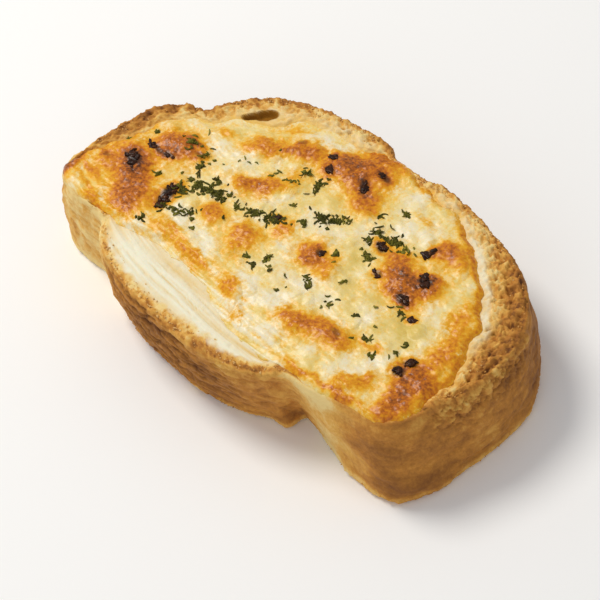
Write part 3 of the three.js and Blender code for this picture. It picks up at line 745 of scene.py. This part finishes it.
cheeseValues = {
    "acrossX": 186,             # half the number of steps along the slice
    "acrossY": 110,
    "gap": 0.3,                 # mm, between the solids of the bread and the cheese
    "thickness": 1.5,
    "lip": 0.3,                 # thickness at the edge
    "overlap": 0.6,             # mm past the solid's edge, onto the rising crumb
    "waveHeight": 0.45,
    "waveSpacing": 12.0,
    "meltHeight": 0.45,         # soft lumps left by the shreds of cheese
    "meltSpacing": (7.0, 4.0, 4.0),
    "strandHeight": 0.2,        # long strands beside the front edge
    "strandSpacing": (18.0, 1.3, 1.0),
    "strandEnds": (34, 20),     # mm, x over which they fade in
    "strandStart": (-12, -24),  # mm, and y
    "bubbleHeight": 0.7,
    "bubbleSpacing": 5.0,
    "blisterHeight": 0.28,      # fine blisters of the browned skin
    "blisterSpacing": 1.5,
    "wander": 1.7,              # mm, unevenness of the browned patches' edges
    "goldening": 0.05,          # light browning between the patches
    "sheetHalf": (62, 33),      # mm, rough half sizes, which keep the grid's steps even
    # browned patches: x, y, half sizes, turn in degrees, how brown, height in mm
    "patches": [
        (-48.8, 0.8, 9.5, 6.6, 8, 0.76, 1.3), (-53.5, -11.0, 7.5, 5.5, -20, 0.76, 1.1),
        (-47, -17.5, 11, 7.2, -32, 0.74, 0.9), (-43, -24, 5, 3, 0, 0.42, 0.3),
        (-59.5, -16.5, 5.0, 4.0, -30, 0.45, 0.3), (-68.5, -25.0, 6.0, 6.5, 0, 0.84, 0.3),
        (-32, 16.5, 6.5, 4.0, 30, 0.52, 0.8), (-23, 22.5, 8.5, 3.8, 30, 0.64, 0.9),
        (-7.5, 27, 11, 7.5, 15, 0.7, 1.3), (3.2, 22.5, 5.5, 5.5, -30, 0.6, 0.9),
        (-3.0, 34, 7, 5, 0, 0.42, 0.5), (0.5, 38.5, 10, 3.0, 0, 0.36, 0.2),
        (-6.5, 36.3, 5.0, 3.6, 0, 0.48, 0.2), (-10.3, 30.6, 4.2, 3.4, 0, 0.45, 0.2),
        (-24.5, 4.8, 6.5, 3.8, 20, 0.58, 0.8), (-19, 9.5, 5.5, 3.8, 50, 0.56, 0.8),
        (-11.3, -7.6, 6.0, 5.2, 10, 0.52, 0.9), (-23.3, -8.2, 4.8, 5.0, 0, 0.55, 0.7),
        (-5.2, 1.0, 3.6, 5.0, -20, 0.5, 0.5), (6.8, 0.6, 5.2, 5.0, 0, 0.68, 0.9),
        (13.0, 0.2, 4.4, 4.6, 0, 0.42, 0.5), (25.5, 14, 6.5, 4.5, -25, 0.6, 0.7),
        (32, 9.5, 8.5, 6.0, -20, 0.66, 1.2), (36, 14.5, 5.5, 5.0, -20, 0.7, 0.9),
        (31.0, 26, 4.0, 4.5, -30, 0.55, 0.6), (35.6, 25.6, 5.7, 4.0, -25, 0.5, 0.8),
        (51.5, 12.5, 3.2, 8, 20, 0.4, 0.4), (55.5, 3, 4.5, 6.5, 8, 0.46, 0.6),
        (56.5, -8, 6, 8, 0, 0.75, 0.8), (58, -17, 5.5, 7, 0, 0.66, 0.6),
        (19, -16.8, 6.0, 4.2, 10, 0.54, 0.8), (27, -14.2, 7.5, 4.4, 15, 0.58, 0.9),
        (34, -13.5, 4.5, 5.0, 0, 0.4, 0.5), (44.5, -20.2, 5.0, 3.2, 30, 0.42, 0.7),
        (48.0, -16.0, 2.4, 3.6, 0, 0.45, 0.4), (40.5, -8.5, 5.0, 1.6, 10, 0.34, 0.2),
        (-15.5, -21.5, 10, 2.8, -3, 0.45, 0.5), (-0.5, -21.0, 5.2, 2.8, -10, 0.45, 0.5),
        (-28.5, -20.5, 7, 3.0, 10, 0.3, 0.3), (7.6, -26, 3.0, 2.6, 0, 0.3, 0.2),
        (33, -26.2, 6, 1.8, 4, 0.5, 0.2), (45, -24.2, 9, 1.6, 12, 0.56, 0.1),
        (20, 28.6, 3.4, 2.2, 0, 0.26, 0.2), (-43.7, 13.2, 3.6, 2.2, 20, 0.34, 0.2),
        (-33, 25.6, 8, 2.4, 32, 0.34, 0.1), (12, 37.0, 5, 2.2, -6, 0.42, 0.1),
        (48.7, 11.5, 2.4, 4.0, 0, 0.24, 0.1), (-58.5, -21.6, 7.5, 1.5, -14, 0.42, 0.1),
        (-56.5, -25.4, 7.5, 1.2, -10, 0.4, 0.1), (-51, -28.0, 6.5, 1.6, -4, 0.42, 0.1),
        (-61, -10.0, 2.0, 5.0, -10, 0.3, 0.1), (-16, 16, 5, 4, 0, 0.16, 0.0),
        (-8, -14, 7, 3.5, 0, 0.14, 0.0),
    ],
    # an orange line of fried cheese along the edge: directions in degrees, strength
    "friedEdges": [(50, 20, 0.32), (30, 32, 0.46), (-2, 32, 0.34), (-172, 22, 0.3)],
    # where the edge stays pale and melts into the crumb: direction and spread in degrees
    "paleEdges": [(-100, 42), (-134, 12), (150, 26), (120, 16)],
    # whiter curd and oilier places: x, y, half sizes, turn, share
    "curds": [
        (-37, 9, 9, 4, 20, 0.5), (22, 25, 7, 4, 0, 0.5), (16, -7, 10, 5, 10, 0.4),
        (-24, -16, 16, 4, -8, 0.4), (8, -17, 12, 5, 5, 0.5), (-2, 8, 4, 5, 0, 0.3),
        (6, -26, 20, 3, 3, 0.7), (-28, -25, 18, 3, 0, 0.6), (46, -14, 4, 6, 0, 0.3),
        (-57, -2, 5, 3, 0, 0.2), (41, 0, 7, 6, 0, -0.5), (44, 20, 6, 5, -40, -0.45),
        (27, 2, 9, 6, 0, -0.3), (-10, 12, 6, 6, 0, -0.5), (20, 8, 8, 5, 0, -0.2),
        (-32, -10, 6, 5, 0, -0.3), (-20, 29.3, 8, 3, 20, 0.7),
    ],
    # burnt spots: x, y, half sizes, turn, darkness
    "burns": [
        (-54.2, -11, 3.6, 2.8, 10, 1.0), (-37.6, -12.5, 2.6, 4.6, 5, 1.0),
        (-53, -4.2, 3.2, 1.1, -8, 0.8), (-48.4, -3.6, 2.6, 1.0, 12, 0.8),
        (-45.8, 4.4, 2.6, 1.1, 20, 0.55), (-41.8, 2.4, 2.0, 1.3, 0, 0.5),
        (-14.6, 27.0, 1.5, 1.4, 0, 0.7), (-11.9, 23.0, 2.0, 1.3, -20, 0.7),
        (0.2, 31.4, 2.6, 1.1, 0, 0.8), (-0.8, 25.4, 3.2, 1.6, -40, 0.9),
        (28.7, 22.8, 1.4, 2.6, -10, 0.8), (35.1, 14.8, 3.0, 1.9, -20, 1.0),
        (17.6, 15.3, 2.6, 1.7, -10, 0.9), (35.1, 7.2, 2.8, 1.6, 0, 0.85), (41.4, 4.2, 1.5, 1.2, 0, 0.8),
        (24.2, 8.1, 1.9, 1.3, 10, 0.6), (51.4, -5.2, 2.3, 1.7, 30, 0.8), (51.3, -9.0, 2.2, 1.9, 0, 0.8),
        (8.3, 2.5, 1.8, 1.2, -15, 0.75), (-9.4, 2.6, 1.8, 1.4, 10, 0.7), (31.2, -11.8, 1.8, 1.3, 0, 0.5),
        (-25, 24.5, 2.0, 1.0, 30, 0.4), (-61, -15, 1.4, 1.0, 0, 0.4), (30, 11.8, 1.8, 1.2, 0, 0.4),
    ],
}


def cheeseSurface(x, y, reach, values):
    # height of the melted surface, then how browned, charred and milky it is
    flat = flatPoints(x, y)
    wander = [values["wander"] * cloud(flat, 5.0, 4, shift) for shift in (40.0, 50.0)]
    wx, wy = x + wander[0], y + wander[1]
    raised = np.zeros_like(x)
    pale = np.ones_like(x)
    for cx, cy, long, wide, turn, brown, tall in values["patches"]:
        share = turnedShare(x + 0.5 * wander[0], y + 0.5 * wander[1], cx, cy, long, wide, turn)
        raised = np.maximum(raised, tall * np.clip(1 - share ** 2, 0, 1) ** 1.2)
        spread = turnedShare(wx, wy, cx, cy, long, wide, turn)
        pale = pale * (1 - brown * (0.24 * smooth(1.7, 0.8, spread) + 0.72 * smooth(1.05, 0.35, spread)))
    pale = pale * (1 - values["goldening"] * smooth(-0.35, 0.5, cloud(flat, 7.0, 4, 80.0)))
    milk = np.zeros_like(x)
    for cx, cy, long, wide, turn, share in values["curds"]:
        milk += share * smooth(1.3, 0.2, turnedShare(wx, wy, cx, cy, long, wide, turn))
    charred = np.zeros_like(x)
    for cx, cy, long, wide, turn, dark in values["burns"]:
        burn = turnedShare(x + 0.35 * wander[0], y + 0.35 * wander[1], cx, cy, long, wide, turn)
        charred = np.maximum(charred, dark * smooth(1.05, 0.45, burn))
        pale = pale * (1 - 0.4 * dark * smooth(1.9, 0.9, burn))
    radius = np.hypot(x, y)
    toEdge = reach - radius
    strandShare = smooth(*values["strandStart"], y) * smooth(*values["strandEnds"], x)
    strandLines = strandShare * cloud(flat, values["strandSpacing"], 3, 75.0)
    pale = pale * (1 - 0.18 * np.clip(-strandLines, 0, 1))
    milk = milk + 0.4 * strandLines
    angle = np.degrees(np.arctan2(y, x))
    overRim = np.clip((radius - crustReach(angle)) / sliceShape["rimRadius"] + 1, 0, 0.98)
    fried = sum(strength * towards(angle, at, spread) for at, spread, strength in values["friedEdges"])
    pale = pale * (1 - fried * np.exp(-((toEdge - 0.8) / 1.3) ** 2))
    unbrowned = sum(towards(angle, at, spread) for at, spread in values["paleEdges"])
    unbrowned = np.clip(unbrowned * smooth(5.0, 1.0, toEdge), 0, 1)
    front = frontShare(angle)
    fibres = fibreLines(x, y, crustReach(angle) - sliceShape["rimRadius"] - radius)
    thinned = front * smooth(6.0, 0.0, toEdge)
    back = backShare(angle)
    melted = np.maximum(front, back)
    # along the front the cheese is whiter on the ridges under it and golder between them, as on the crumb:
    # partly painted shade
    browned = (1 - pale) * (1 - 0.85 * unbrowned) + 0.1 * thinned * np.clip(0.5 - fibres, 0, 1)
    browned += 0.07 * back * smooth(4.0, 0.5, toEdge)
    milk = milk + 0.5 * unbrowned * (1 - melted) + thinned * (0.9 * fibres - 0.25)
    waves = values["waveHeight"] * cloud(flat, values["waveSpacing"], 2, 60.0)
    melt = values["meltHeight"] * cloud(flat, values["meltSpacing"], 3, 65.0)
    strands = values["strandHeight"] * strandLines * (1 - browned)
    bubble, bubbleTag = domes(flat, values["bubbleSpacing"], 0.2, 7.0)
    bubbles = values["bubbleHeight"] * bubbleTag * bubble
    blister, _ = domes(flat, values["blisterSpacing"], 0.35, 17.0)
    skin = values["blisterHeight"] * (0.15 + browned) * blister
    rough = 0.08 * cloud(flat, 0.9, 2, 70.0) * (0.5 + browned)
    share = np.clip(toEdge / (2.6 + 3.4 * melted), 0, 1)
    lip = values["lip"] * (1 - 0.8 * melted)
    rounded = melted * share + (1 - melted) * np.sqrt(share * (2 - share))
    body = smooth(0, 4.0 + 2.0 * melted, toEdge)
    height = faceHeight(x, y) + values["gap"] * smooth(0, 2 + 3 * melted, toEdge)
    height += lip + (values["thickness"] - lip) * rounded
    height += melted * crumbRise(angle, radius) + thinned * sliceShape["ridgeDepth"] * fibres
    height -= sliceShape["rimRadius"] * (1 - np.sqrt(1 - overRim ** 2))
    height += body * (raised + waves + melt + strands + bubbles) + skin * smooth(0, 1.5, toEdge) + rough
    return height, np.clip(browned, 0, 1), np.clip(charred, 0, 1), milk


def makeCheese(values):
    # a square grid bent into a disc and stretched to the cheese's edge, so its steps stay even
    stepsX, stepsY = values["acrossX"], values["acrossY"]
    a, b = np.meshgrid(np.linspace(-1, 1, 2 * stepsX + 1), np.linspace(-1, 1, 2 * stepsY + 1))
    disc = np.maximum(np.abs(a), np.abs(b))
    wideFirst = np.abs(a) >= np.abs(b)
    ratio = np.where(wideFirst, b / np.where(wideFirst & (a != 0), a, 1), a / np.where(wideFirst, 1, b))
    turn = np.where(wideFirst, ratio * math.pi / 4, math.pi / 2 - ratio * math.pi / 4)
    turn = turn + np.where(np.where(wideFirst, a < 0, b < 0), math.pi, 0)
    halfLong, halfWide = values["sheetHalf"]
    angle = np.degrees(np.arctan2(halfWide * np.sin(turn), halfLong * np.cos(turn)))
    reach = cheeseReach(angle) + values["overlap"]
    place = around(angle, (reach - 0.15) * disc, 0)
    height, browned, charred, milk = cheeseSurface(place[..., 0], place[..., 1], reach, values)
    place[..., 2] = height
    fields = {"browned": browned, "charred": charred, "milk": milk}

    rows, columns = a.shape
    index = np.arange(rows * columns).reshape(rows, columns)
    faces = np.stack([index[:-1, :-1], index[:-1, 1:], index[1:, 1:], index[1:, :-1]], -1)
    faces = faces.reshape(-1, 4).tolist()
    border = np.concatenate([index[0, :-1], index[:-1, -1], index[-1, :0:-1], index[:0:-1, 0]])
    points = place.reshape(-1, 3)
    edge = points[border]
    outward = edge[:, :2] / np.linalg.norm(edge[:, :2], axis=1, keepdims=True)
    rings = [np.column_stack([edge[:, :2] + outward * 0.15, edge[:, 2] - 0.15])]
    for inset, share in ((0.1, 1.0), (0.3, 0.6)):
        low = (edge[:, :2] - outward * inset) * share
        rings.append(np.column_stack([low, faceHeight(low[:, 0], low[:, 1]) - 0.1]))
    previous = border
    for ring in rings:
        current = len(points) + np.arange(len(border))
        points = np.concatenate([points, ring])
        faces += np.stack([previous, current, np.roll(current, -1), np.roll(previous, -1)], -1).tolist()
        previous = current
    middle = len(points)
    points = np.concatenate([points, [(0, 0, faceHeight(0, 0) - 0.1)]])
    faces += [(int(one), middle, int(two)) for one, two in zip(previous, np.roll(previous, -1))]
    for name, field in fields.items():
        rimField = field.ravel()[border]
        fields[name] = np.concatenate([field.ravel(), rimField, rimField, rimField, [0.0]])
    makePiece("melted_cheese", points, faces, fields, makeMeltedCheese(cheeseFinish),
              "cheese_topping")


makeCheese(cheeseValues)
print("cheese made")


parsleyValues = {
    "seed": 11,
    "leafShare": 0.55,          # the other scraps are shreds
    "leafHalf": (0.4, 1.0),     # mm, half length of a scrap of leaf
    "shredHalf": (0.5, 1.3),    # mm, half length of a shred
    "thickness": 0.16,
    "scatter": 0.68,            # how far a cluster's scraps stray from its middle
    "density": 1.15,            # scraps laid for each one that a cluster names
    "tilt": 0.4,                # radians, spread
    "toneSpread": 0.15,
    # clusters: x, y, half sizes, turn in degrees, number of scraps, how pale
    "clusters": [
        (-34, -5, 5.0, 1.8, 5, 46, 0.22), (-27.5, -3.2, 4.0, 1.9, 10, 46, 0.2),
        (-30.8, -0.5, 1.6, 2.4, 0, 12, 0.25), (-14.5, -0.4, 3.6, 1.5, 15, 34, 0.2),
        (-10, 1.4, 3.0, 1.8, 20, 30, 0.15), (-36.5, -8.5, 3.2, 2.4, 0, 20, 0.25),
        (-28.5, -12.5, 3.6, 1.8, 40, 20, 0.25), (-32, -14.5, 3.0, 1.0, 10, 10, 0.3),
        (-35, -16, 1.6, 2.2, 0, 9, 0.15), (-0.8, 10.5, 3.4, 2.0, 0, 34, 0.15),
        (2.6, 12.8, 2.8, 1.8, 25, 16, 0.2), (4.8, 15, 1.8, 1.0, 50, 6, 0.5),
        (13.5, 18, 2.2, 2.4, 0, 13, 0.2), (19, 18.5, 4.0, 2.4, 0, 36, 0.2),
        (23.5, 18.5, 2.0, 1.8, 0, 8, 0.55), (14, 14, 1.6, 1.2, 0, 8, 0.2),
        (18.5, 10.2, 2.4, 2.6, 40, 14, 0.45), (-10.3, 17.5, 1.5, 2.8, 0, 18, 0.2),
        (-16, 18.3, 1.6, 1.2, 0, 8, 0.25), (-17, 13.4, 2.6, 0.8, 35, 7, 0.35),
        (-22, 11.5, 0.8, 1.8, 0, 4, 0.4), (14.2, 27.3, 2.2, 1.1, 0, 10, 0.3),
        (9.8, 21.3, 1.0, 1.8, 0, 8, 0.3), (37.3, 4, 2.6, 1.0, 0, 9, 0.25),
        (46.2, -5.5, 0.9, 2.8, 0, 7, 0.4), (42.8, -10.5, 1.8, 0.9, 40, 6, 0.4),
        (37.2, -8.2, 2.2, 0.9, 40, 9, 0.35), (-1.2, -7.6, 2.4, 1.2, -40, 12, 0.25),
        (-5.6, -11.6, 1.4, 0.8, 0, 5, 0.3), (-1.4, -12.7, 1.6, 1.1, 0, 9, 0.1),
        (11.3, -5.3, 1.2, 0.9, -30, 5, 0.35), (14.3, -7, 1.5, 1.1, 0, 8, 0.1),
        (22.4, -6.8, 1.4, 2.0, 0, 8, 0.3), (30.3, -5.2, 0.6, 1.2, 0, 3, 0.3),
        (-2.7, 5.8, 2.2, 0.7, 8, 8, 0.35), (11.6, 5.3, 1.8, 0.6, -10, 5, 0.45),
        (-46, 4, 3.6, 2.4, -10, 12, 0.4), (-41, 3.6, 2.0, 1.4, 0, 8, 0.35),
        (-38.8, -0.3, 2.6, 1.0, -40, 11, 0.25), (-57.4, -0.4, 0.9, 0.6, 0, 4, 0.3),
        (-62.8, -6.7, 1.0, 0.7, 0, 4, 0.4), (-36.3, -22.4, 0.9, 1.9, 10, 7, 0.1),
        (-23.5, -15.3, 1.0, 0.6, 0, 4, 0.35), (-25.3, -1.2, 1.2, 0.6, 0, 4, 0.3),
        (-20.5, -2.6, 2.0, 0.8, 10, 5, 0.35), (-45, -9.5, 1.4, 0.8, 0, 4, 0.4),
        (-10.2, 8.5, 0.8, 0.6, 0, 3, 0.4), (9, -13.5, 0.6, 0.5, 0, 2, 0.4), (0.0, -9, 8, 8, 0, 5, 0.5),
        (20, 0, 22, 12, 0, 8, 0.5), (-30, 8, 20, 10, 0, 6, 0.5),
    ],
}

charValues = {
    "seed": 5,
    "lift": 0.05,               # mm, middle of a lump above the cheese
    "fewest": 3,                # lumps in a bit, to which its size adds
    "density": 1.6,             # times half length and half width, how many more
    "lumpHalf": (0.45, 1.0),    # mm
    "tones": (0.1, 0.6),
    # x, y, half sizes, turn in degrees, height in mm
    "bits": [
        (-55.2, -10.4, 2.2, 1.6, 20, 1.0), (-52.8, -12.2, 1.6, 1.3, -30, 0.8),
        (-38.2, -10.8, 1.6, 1.9, 10, 1.0), (-37.2, -13.6, 1.5, 2.0, 10, 1.0),
        (-36.2, -16.4, 0.9, 1.2, 0, 0.7), (-54.2, -4.2, 2.3, 0.7, -8, 0.5),
        (-48.6, -3.7, 2.0, 0.6, 12, 0.5), (-14.6, 27.0, 1.0, 0.9, 0, 0.6),
        (-11.9, 23.0, 1.4, 0.8, -20, 0.6), (0.2, 31.4, 1.9, 0.6, 0, 0.5),
        (-0.8, 25.4, 2.4, 1.0, -40, 0.8), (28.7, 23.3, 0.7, 1.6, -10, 0.7),
        (28.2, 21.2, 0.9, 0.8, 0, 0.6), (34.4, 15.4, 1.5, 1.2, -20, 0.9),
        (36.0, 14.2, 1.5, 1.2, -20, 0.9), (17.6, 15.3, 1.9, 1.2, -10, 0.9),
        (35.2, 7.2, 1.9, 1.0, 0, 0.8), (41.4, 4.2, 1.1, 0.9, 0, 0.7), (24.0, 8.1, 1.4, 0.9, 10, 0.7),
        (51.6, -5.2, 1.7, 1.3, 30, 1.1), (51.2, -8.9, 1.6, 1.5, 0, 1.2), (8.3, 2.5, 1.2, 0.7, -15, 0.5),
        (-9.4, 2.6, 1.2, 0.9, 10, 0.7),
    ],
}


def surfaceAt(spots):
    # points on the cheese for a list of (x, y)
    spots = np.array(spots, float)
    reach = cheeseReach(np.degrees(np.arctan2(spots[:, 1], spots[:, 0]))) + cheeseValues["overlap"]
    height = cheeseSurface(spots[:, 0], spots[:, 1], reach, cheeseValues)[0]
    return np.column_stack([spots, height])


def plateShape(outline, heights, thickness):
    # a thin plate with a middle point: both faces split alike into triangles, and a rim
    corners = len(outline) - 1
    upper = np.column_stack([outline, heights])
    points = np.concatenate([upper, upper - (0, 0, thickness)])
    low = corners + 1
    faces = []
    for corner in range(corners):
        a, b = 1 + corner, 1 + (corner + 1) % corners
        faces += [(0, a, b), (low, b + low, a + low), (a, a + low, b + low), (a, b + low, b)]
    return points, faces


def makeLeafScrap(draw, half, thickness):
    # a torn scrap of leaf: uneven, nine-cornered and curled
    long, wide = half, half * draw.uniform(0.45, 0.85)
    outline = [(0.0, 0.0)]
    for corner in range(9):
        turn = 2 * math.pi * (corner + draw.uniform(-0.25, 0.25)) / 9
        reach = draw.uniform(0.55, 1.15)
        outline.append((long * reach * math.cos(turn), wide * reach * math.sin(turn)))
    outline = np.array(outline)
    curl = draw.uniform(-0.4, 0.6) / half
    heights = curl * outline[:, 0] ** 2 + 0.15 * half * np.sin(4 * outline[:, 1] / half)
    return plateShape(outline, heights, thickness)


def makeShred(draw, half, thickness):
    # a narrow curved shred of leaf or stalk
    wide, bend = draw.uniform(0.2, 0.34), draw.uniform(-0.5, 0.5)
    along = np.linspace(-half, half, 6)
    across = bend * half * ((along / half) ** 2 - 0.3)
    swell = wide * (1 - 0.6 * (along / half) ** 2)
    upper = np.column_stack([along, across + swell])
    lower = np.column_stack([along, across - swell])
    outline = np.concatenate([[(0.0, -0.3 * bend * half)], lower, upper[::-1]])
    heights = draw.uniform(-0.2, 0.5) * outline[:, 0] ** 2 / half
    return plateShape(outline, heights, thickness)


def makeParsley(values):
    draw = random.Random(values["seed"])
    spots, scraps = [], []
    for *oval, count, paleness in values["clusters"]:
        for _ in range(round(count * values["density"])):
            spin, reach = draw.uniform(0, 2 * math.pi), abs(draw.gauss(0, values["scatter"]))
            spots.append(ovalSpot(*oval, spin, reach))
            if draw.random() < values["leafShare"]:
                points, faces = makeLeafScrap(draw, draw.uniform(*values["leafHalf"]), values["thickness"])
            else:
                points, faces = makeShred(draw, draw.uniform(*values["shredHalf"]), values["thickness"])
            spun = Matrix.Rotation(draw.uniform(0, 2 * math.pi), 3, "Z")
            tilt = spun @ Matrix.Rotation(draw.gauss(0, values["tilt"]), 3, "X")
            tone = min(1, max(0, paleness + draw.gauss(0, values["toneSpread"])))
            scraps.append((points @ np.array(tilt).T, faces, tone))
    shapes = []
    for place, (points, faces, tone) in zip(surfaceAt(spots), scraps):
        lift = values["thickness"] * 0.5 - points[:, 2].min() * 0.4
        shapes.append((points + place + (0, 0, lift), faces, tone))
    makeScatter("parsley_scraps", shapes, "bakedParsley")


def ballShape(detail):
    # points and faces of a unit ball of triangles
    ball = bmesh.new()
    bmesh.ops.create_icosphere(ball, subdivisions=detail, radius=1)
    points = np.array([vertex.co[:] for vertex in ball.verts])
    faces = [tuple(vertex.index for vertex in face.verts) for face in ball.faces]
    ball.free()
    return points, faces


def makeCharredBits(values):
    # each bit is a cluster of burnt, cracked lumps sunk into the cheese
    draw = random.Random(values["seed"])
    ball, faces = ballShape(3)
    spots, lumps = [], []
    for cx, cy, long, wide, turn, tall in values["bits"]:
        for _ in range(values["fewest"] + round(values["density"] * long * wide)):
            spin, reach = draw.uniform(0, 2 * math.pi), draw.random() ** 0.7
            spots.append(ovalSpot(cx, cy, long, wide, turn, spin, reach))
            half = draw.uniform(*values["lumpHalf"]) * (1.2 - 0.5 * reach)
            size = np.array([half * draw.uniform(0.9, 1.6), half * draw.uniform(0.6, 1.0), 0.4 * tall])
            start = draw.uniform(0, 99)
            swell = 0.9 + 0.5 * cloud(ball, 0.8, 3, start) + 0.3 * np.abs(cloud(ball, 0.3, 2, start + 7))
            spun = np.array(Matrix.Rotation(draw.uniform(0, 2 * math.pi), 3, "Z"))
            lumps.append(((ball * swell[:, None] * size) @ spun.T, draw.uniform(*values["tones"])))
    shapes = [(points + place + (0, 0, values["lift"]), faces, tone)
              for place, (points, tone) in zip(surfaceAt(spots), lumps)]
    makeScatter("charred_bits", shapes, "charredCheese")


makeParsley(parsleyValues)
makeCharredBits(charValues)
print("parsley and charred bits made")


crumbValues = {
    "seed": 3,
    "rimCount": 800,
    "footCount": 220,
    "half": (0.1, 0.32),        # mm
    "inset": (0.4, 1.6),        # mm in from the edge: least, and spread beyond it
    "footHeights": (0.9, 2.0),  # mm, of the crumbs at the foot
    "footTones": (0.1, 0.7),
    "tilt": 0.5,                # radians, spread
    "bareAt": (-24, 24),        # direction and spread of a stretch with few crumbs
}


def makeCrumbs(values):
    # crumbs of crust clinging to the cut edge and along the foot
    draw = random.Random(values["seed"])
    ball, faces = ballShape(1)
    directions = np.arange(720) / 2
    edges = [outlineReach(directions, depth) for depth in (0.0, 1.0)]
    least, beyond = values["inset"]
    shapes = []
    for number in range(values["rimCount"] + values["footCount"]):
        angle = draw.uniform(0, 360)
        half = draw.uniform(*values["half"]) * (1 if draw.random() < 0.85 else 1.35)
        if number < values["rimCount"]:
            inset = least + abs(draw.gauss(0, beyond))
            radius = float(np.interp(angle, directions, edges[0], period=360)) - 0.3 - inset
            place = around(angle, radius, 0.0)
            place[2] = faceHeight(place[0], place[1]) + crumbRise(angle, radius) - 0.35 * (inset < 0.8)
            dark = float(byDirection(breadValues["toastDarkness"], angle))
            tone = 0.25 + 0.75 * dark - 0.14 * inset * (1 - dark) - 0.25 * frontShare(angle)
            tone += draw.gauss(0, 0.12)
            if radius < cheeseReach(angle) + 0.6 or draw.random() < 1.2 * towards(angle, *values["bareAt"]):
                continue
        else:
            radius = float(np.interp(angle, directions, edges[1], period=360)) - 0.25
            place = around(angle, radius, draw.uniform(*values["footHeights"]))
            tone = draw.uniform(*values["footTones"])
        size = half * np.array([draw.uniform(0.8, 1.3), draw.uniform(0.6, 1.0), draw.uniform(0.5, 0.8)])
        points = ball * np.array([[draw.uniform(0.75, 1.2)] for _ in ball]) * size
        spun = Matrix.Rotation(draw.uniform(0, 2 * math.pi), 3, "Z")
        turn = spun @ Matrix.Rotation(draw.gauss(0, values["tilt"]), 3, "Y")
        shapes.append((points @ np.array(turn).T + place, faces, min(1, max(0, tone))))
    makeScatter("crust_crumbs", shapes, "toastedCrumbs")


makeCrumbs(crumbValues)
print("crumbs made")


studioValues = {
    "floor": "#f9f9f8",
    "floorRoughness": 0.7,
    "floorHalf": 3.0,           # m
    "sky": "#f8f9fb",
    "skyStrength": 0.5,
    # each light: place and width in m, watts, colour
    "lights": {
        "key": ((-0.55, -0.1, 0.9), 0.42, 6.4, "#fffaf2"),
        "fill": ((0.5, -0.9, 0.6), 0.8, 1.3, "#f4f7ff"),
    },
}


def addAreaLight(name, place, size, power, colour):
    data = bpy.data.lights.new(name, "AREA")
    data.shape = "DISK"
    data.size = size
    data.energy = power
    data.color = linear(colour)[:3]
    light = bpy.data.objects.new(name, data)
    light.location = place
    light.rotation_mode = "QUATERNION"
    light.rotation_quaternion = Vector(place).to_track_quat("Z", "Y")
    bpy.context.scene.collection.objects.link(light)


def makeStudio(values):
    mesh = bpy.data.meshes.new("floor")
    half = values["floorHalf"]
    corners = [(-half, -half, 0), (half, -half, 0), (half, half, 0), (-half, half, 0)]
    mesh.from_pydata(corners, [], [(0, 1, 2, 3)])
    floor = bpy.data.objects.new("floor", mesh)
    bpy.context.scene.collection.objects.link(floor)
    material, add = newMaterial("paleFloor")
    shader = add("BsdfPrincipled", {
        "Base Color": linear(values["floor"]), "Roughness": values["floorRoughness"]})
    add("OutputMaterial", {"Surface": shader})
    mesh.materials.append(material)
    world = bpy.data.worlds.new("world")
    world.use_nodes = True
    background = world.node_tree.nodes["Background"]
    background.inputs["Color"].default_value = linear(values["sky"])
    background.inputs["Strength"].default_value = values["skyStrength"]
    bpy.context.scene.world = world
    for name, light in values["lights"].items():
        addAreaLight(name, *light)
    bpy.context.scene.view_settings.view_transform = "Standard"


makeStudio(studioValues)
print("studio set")
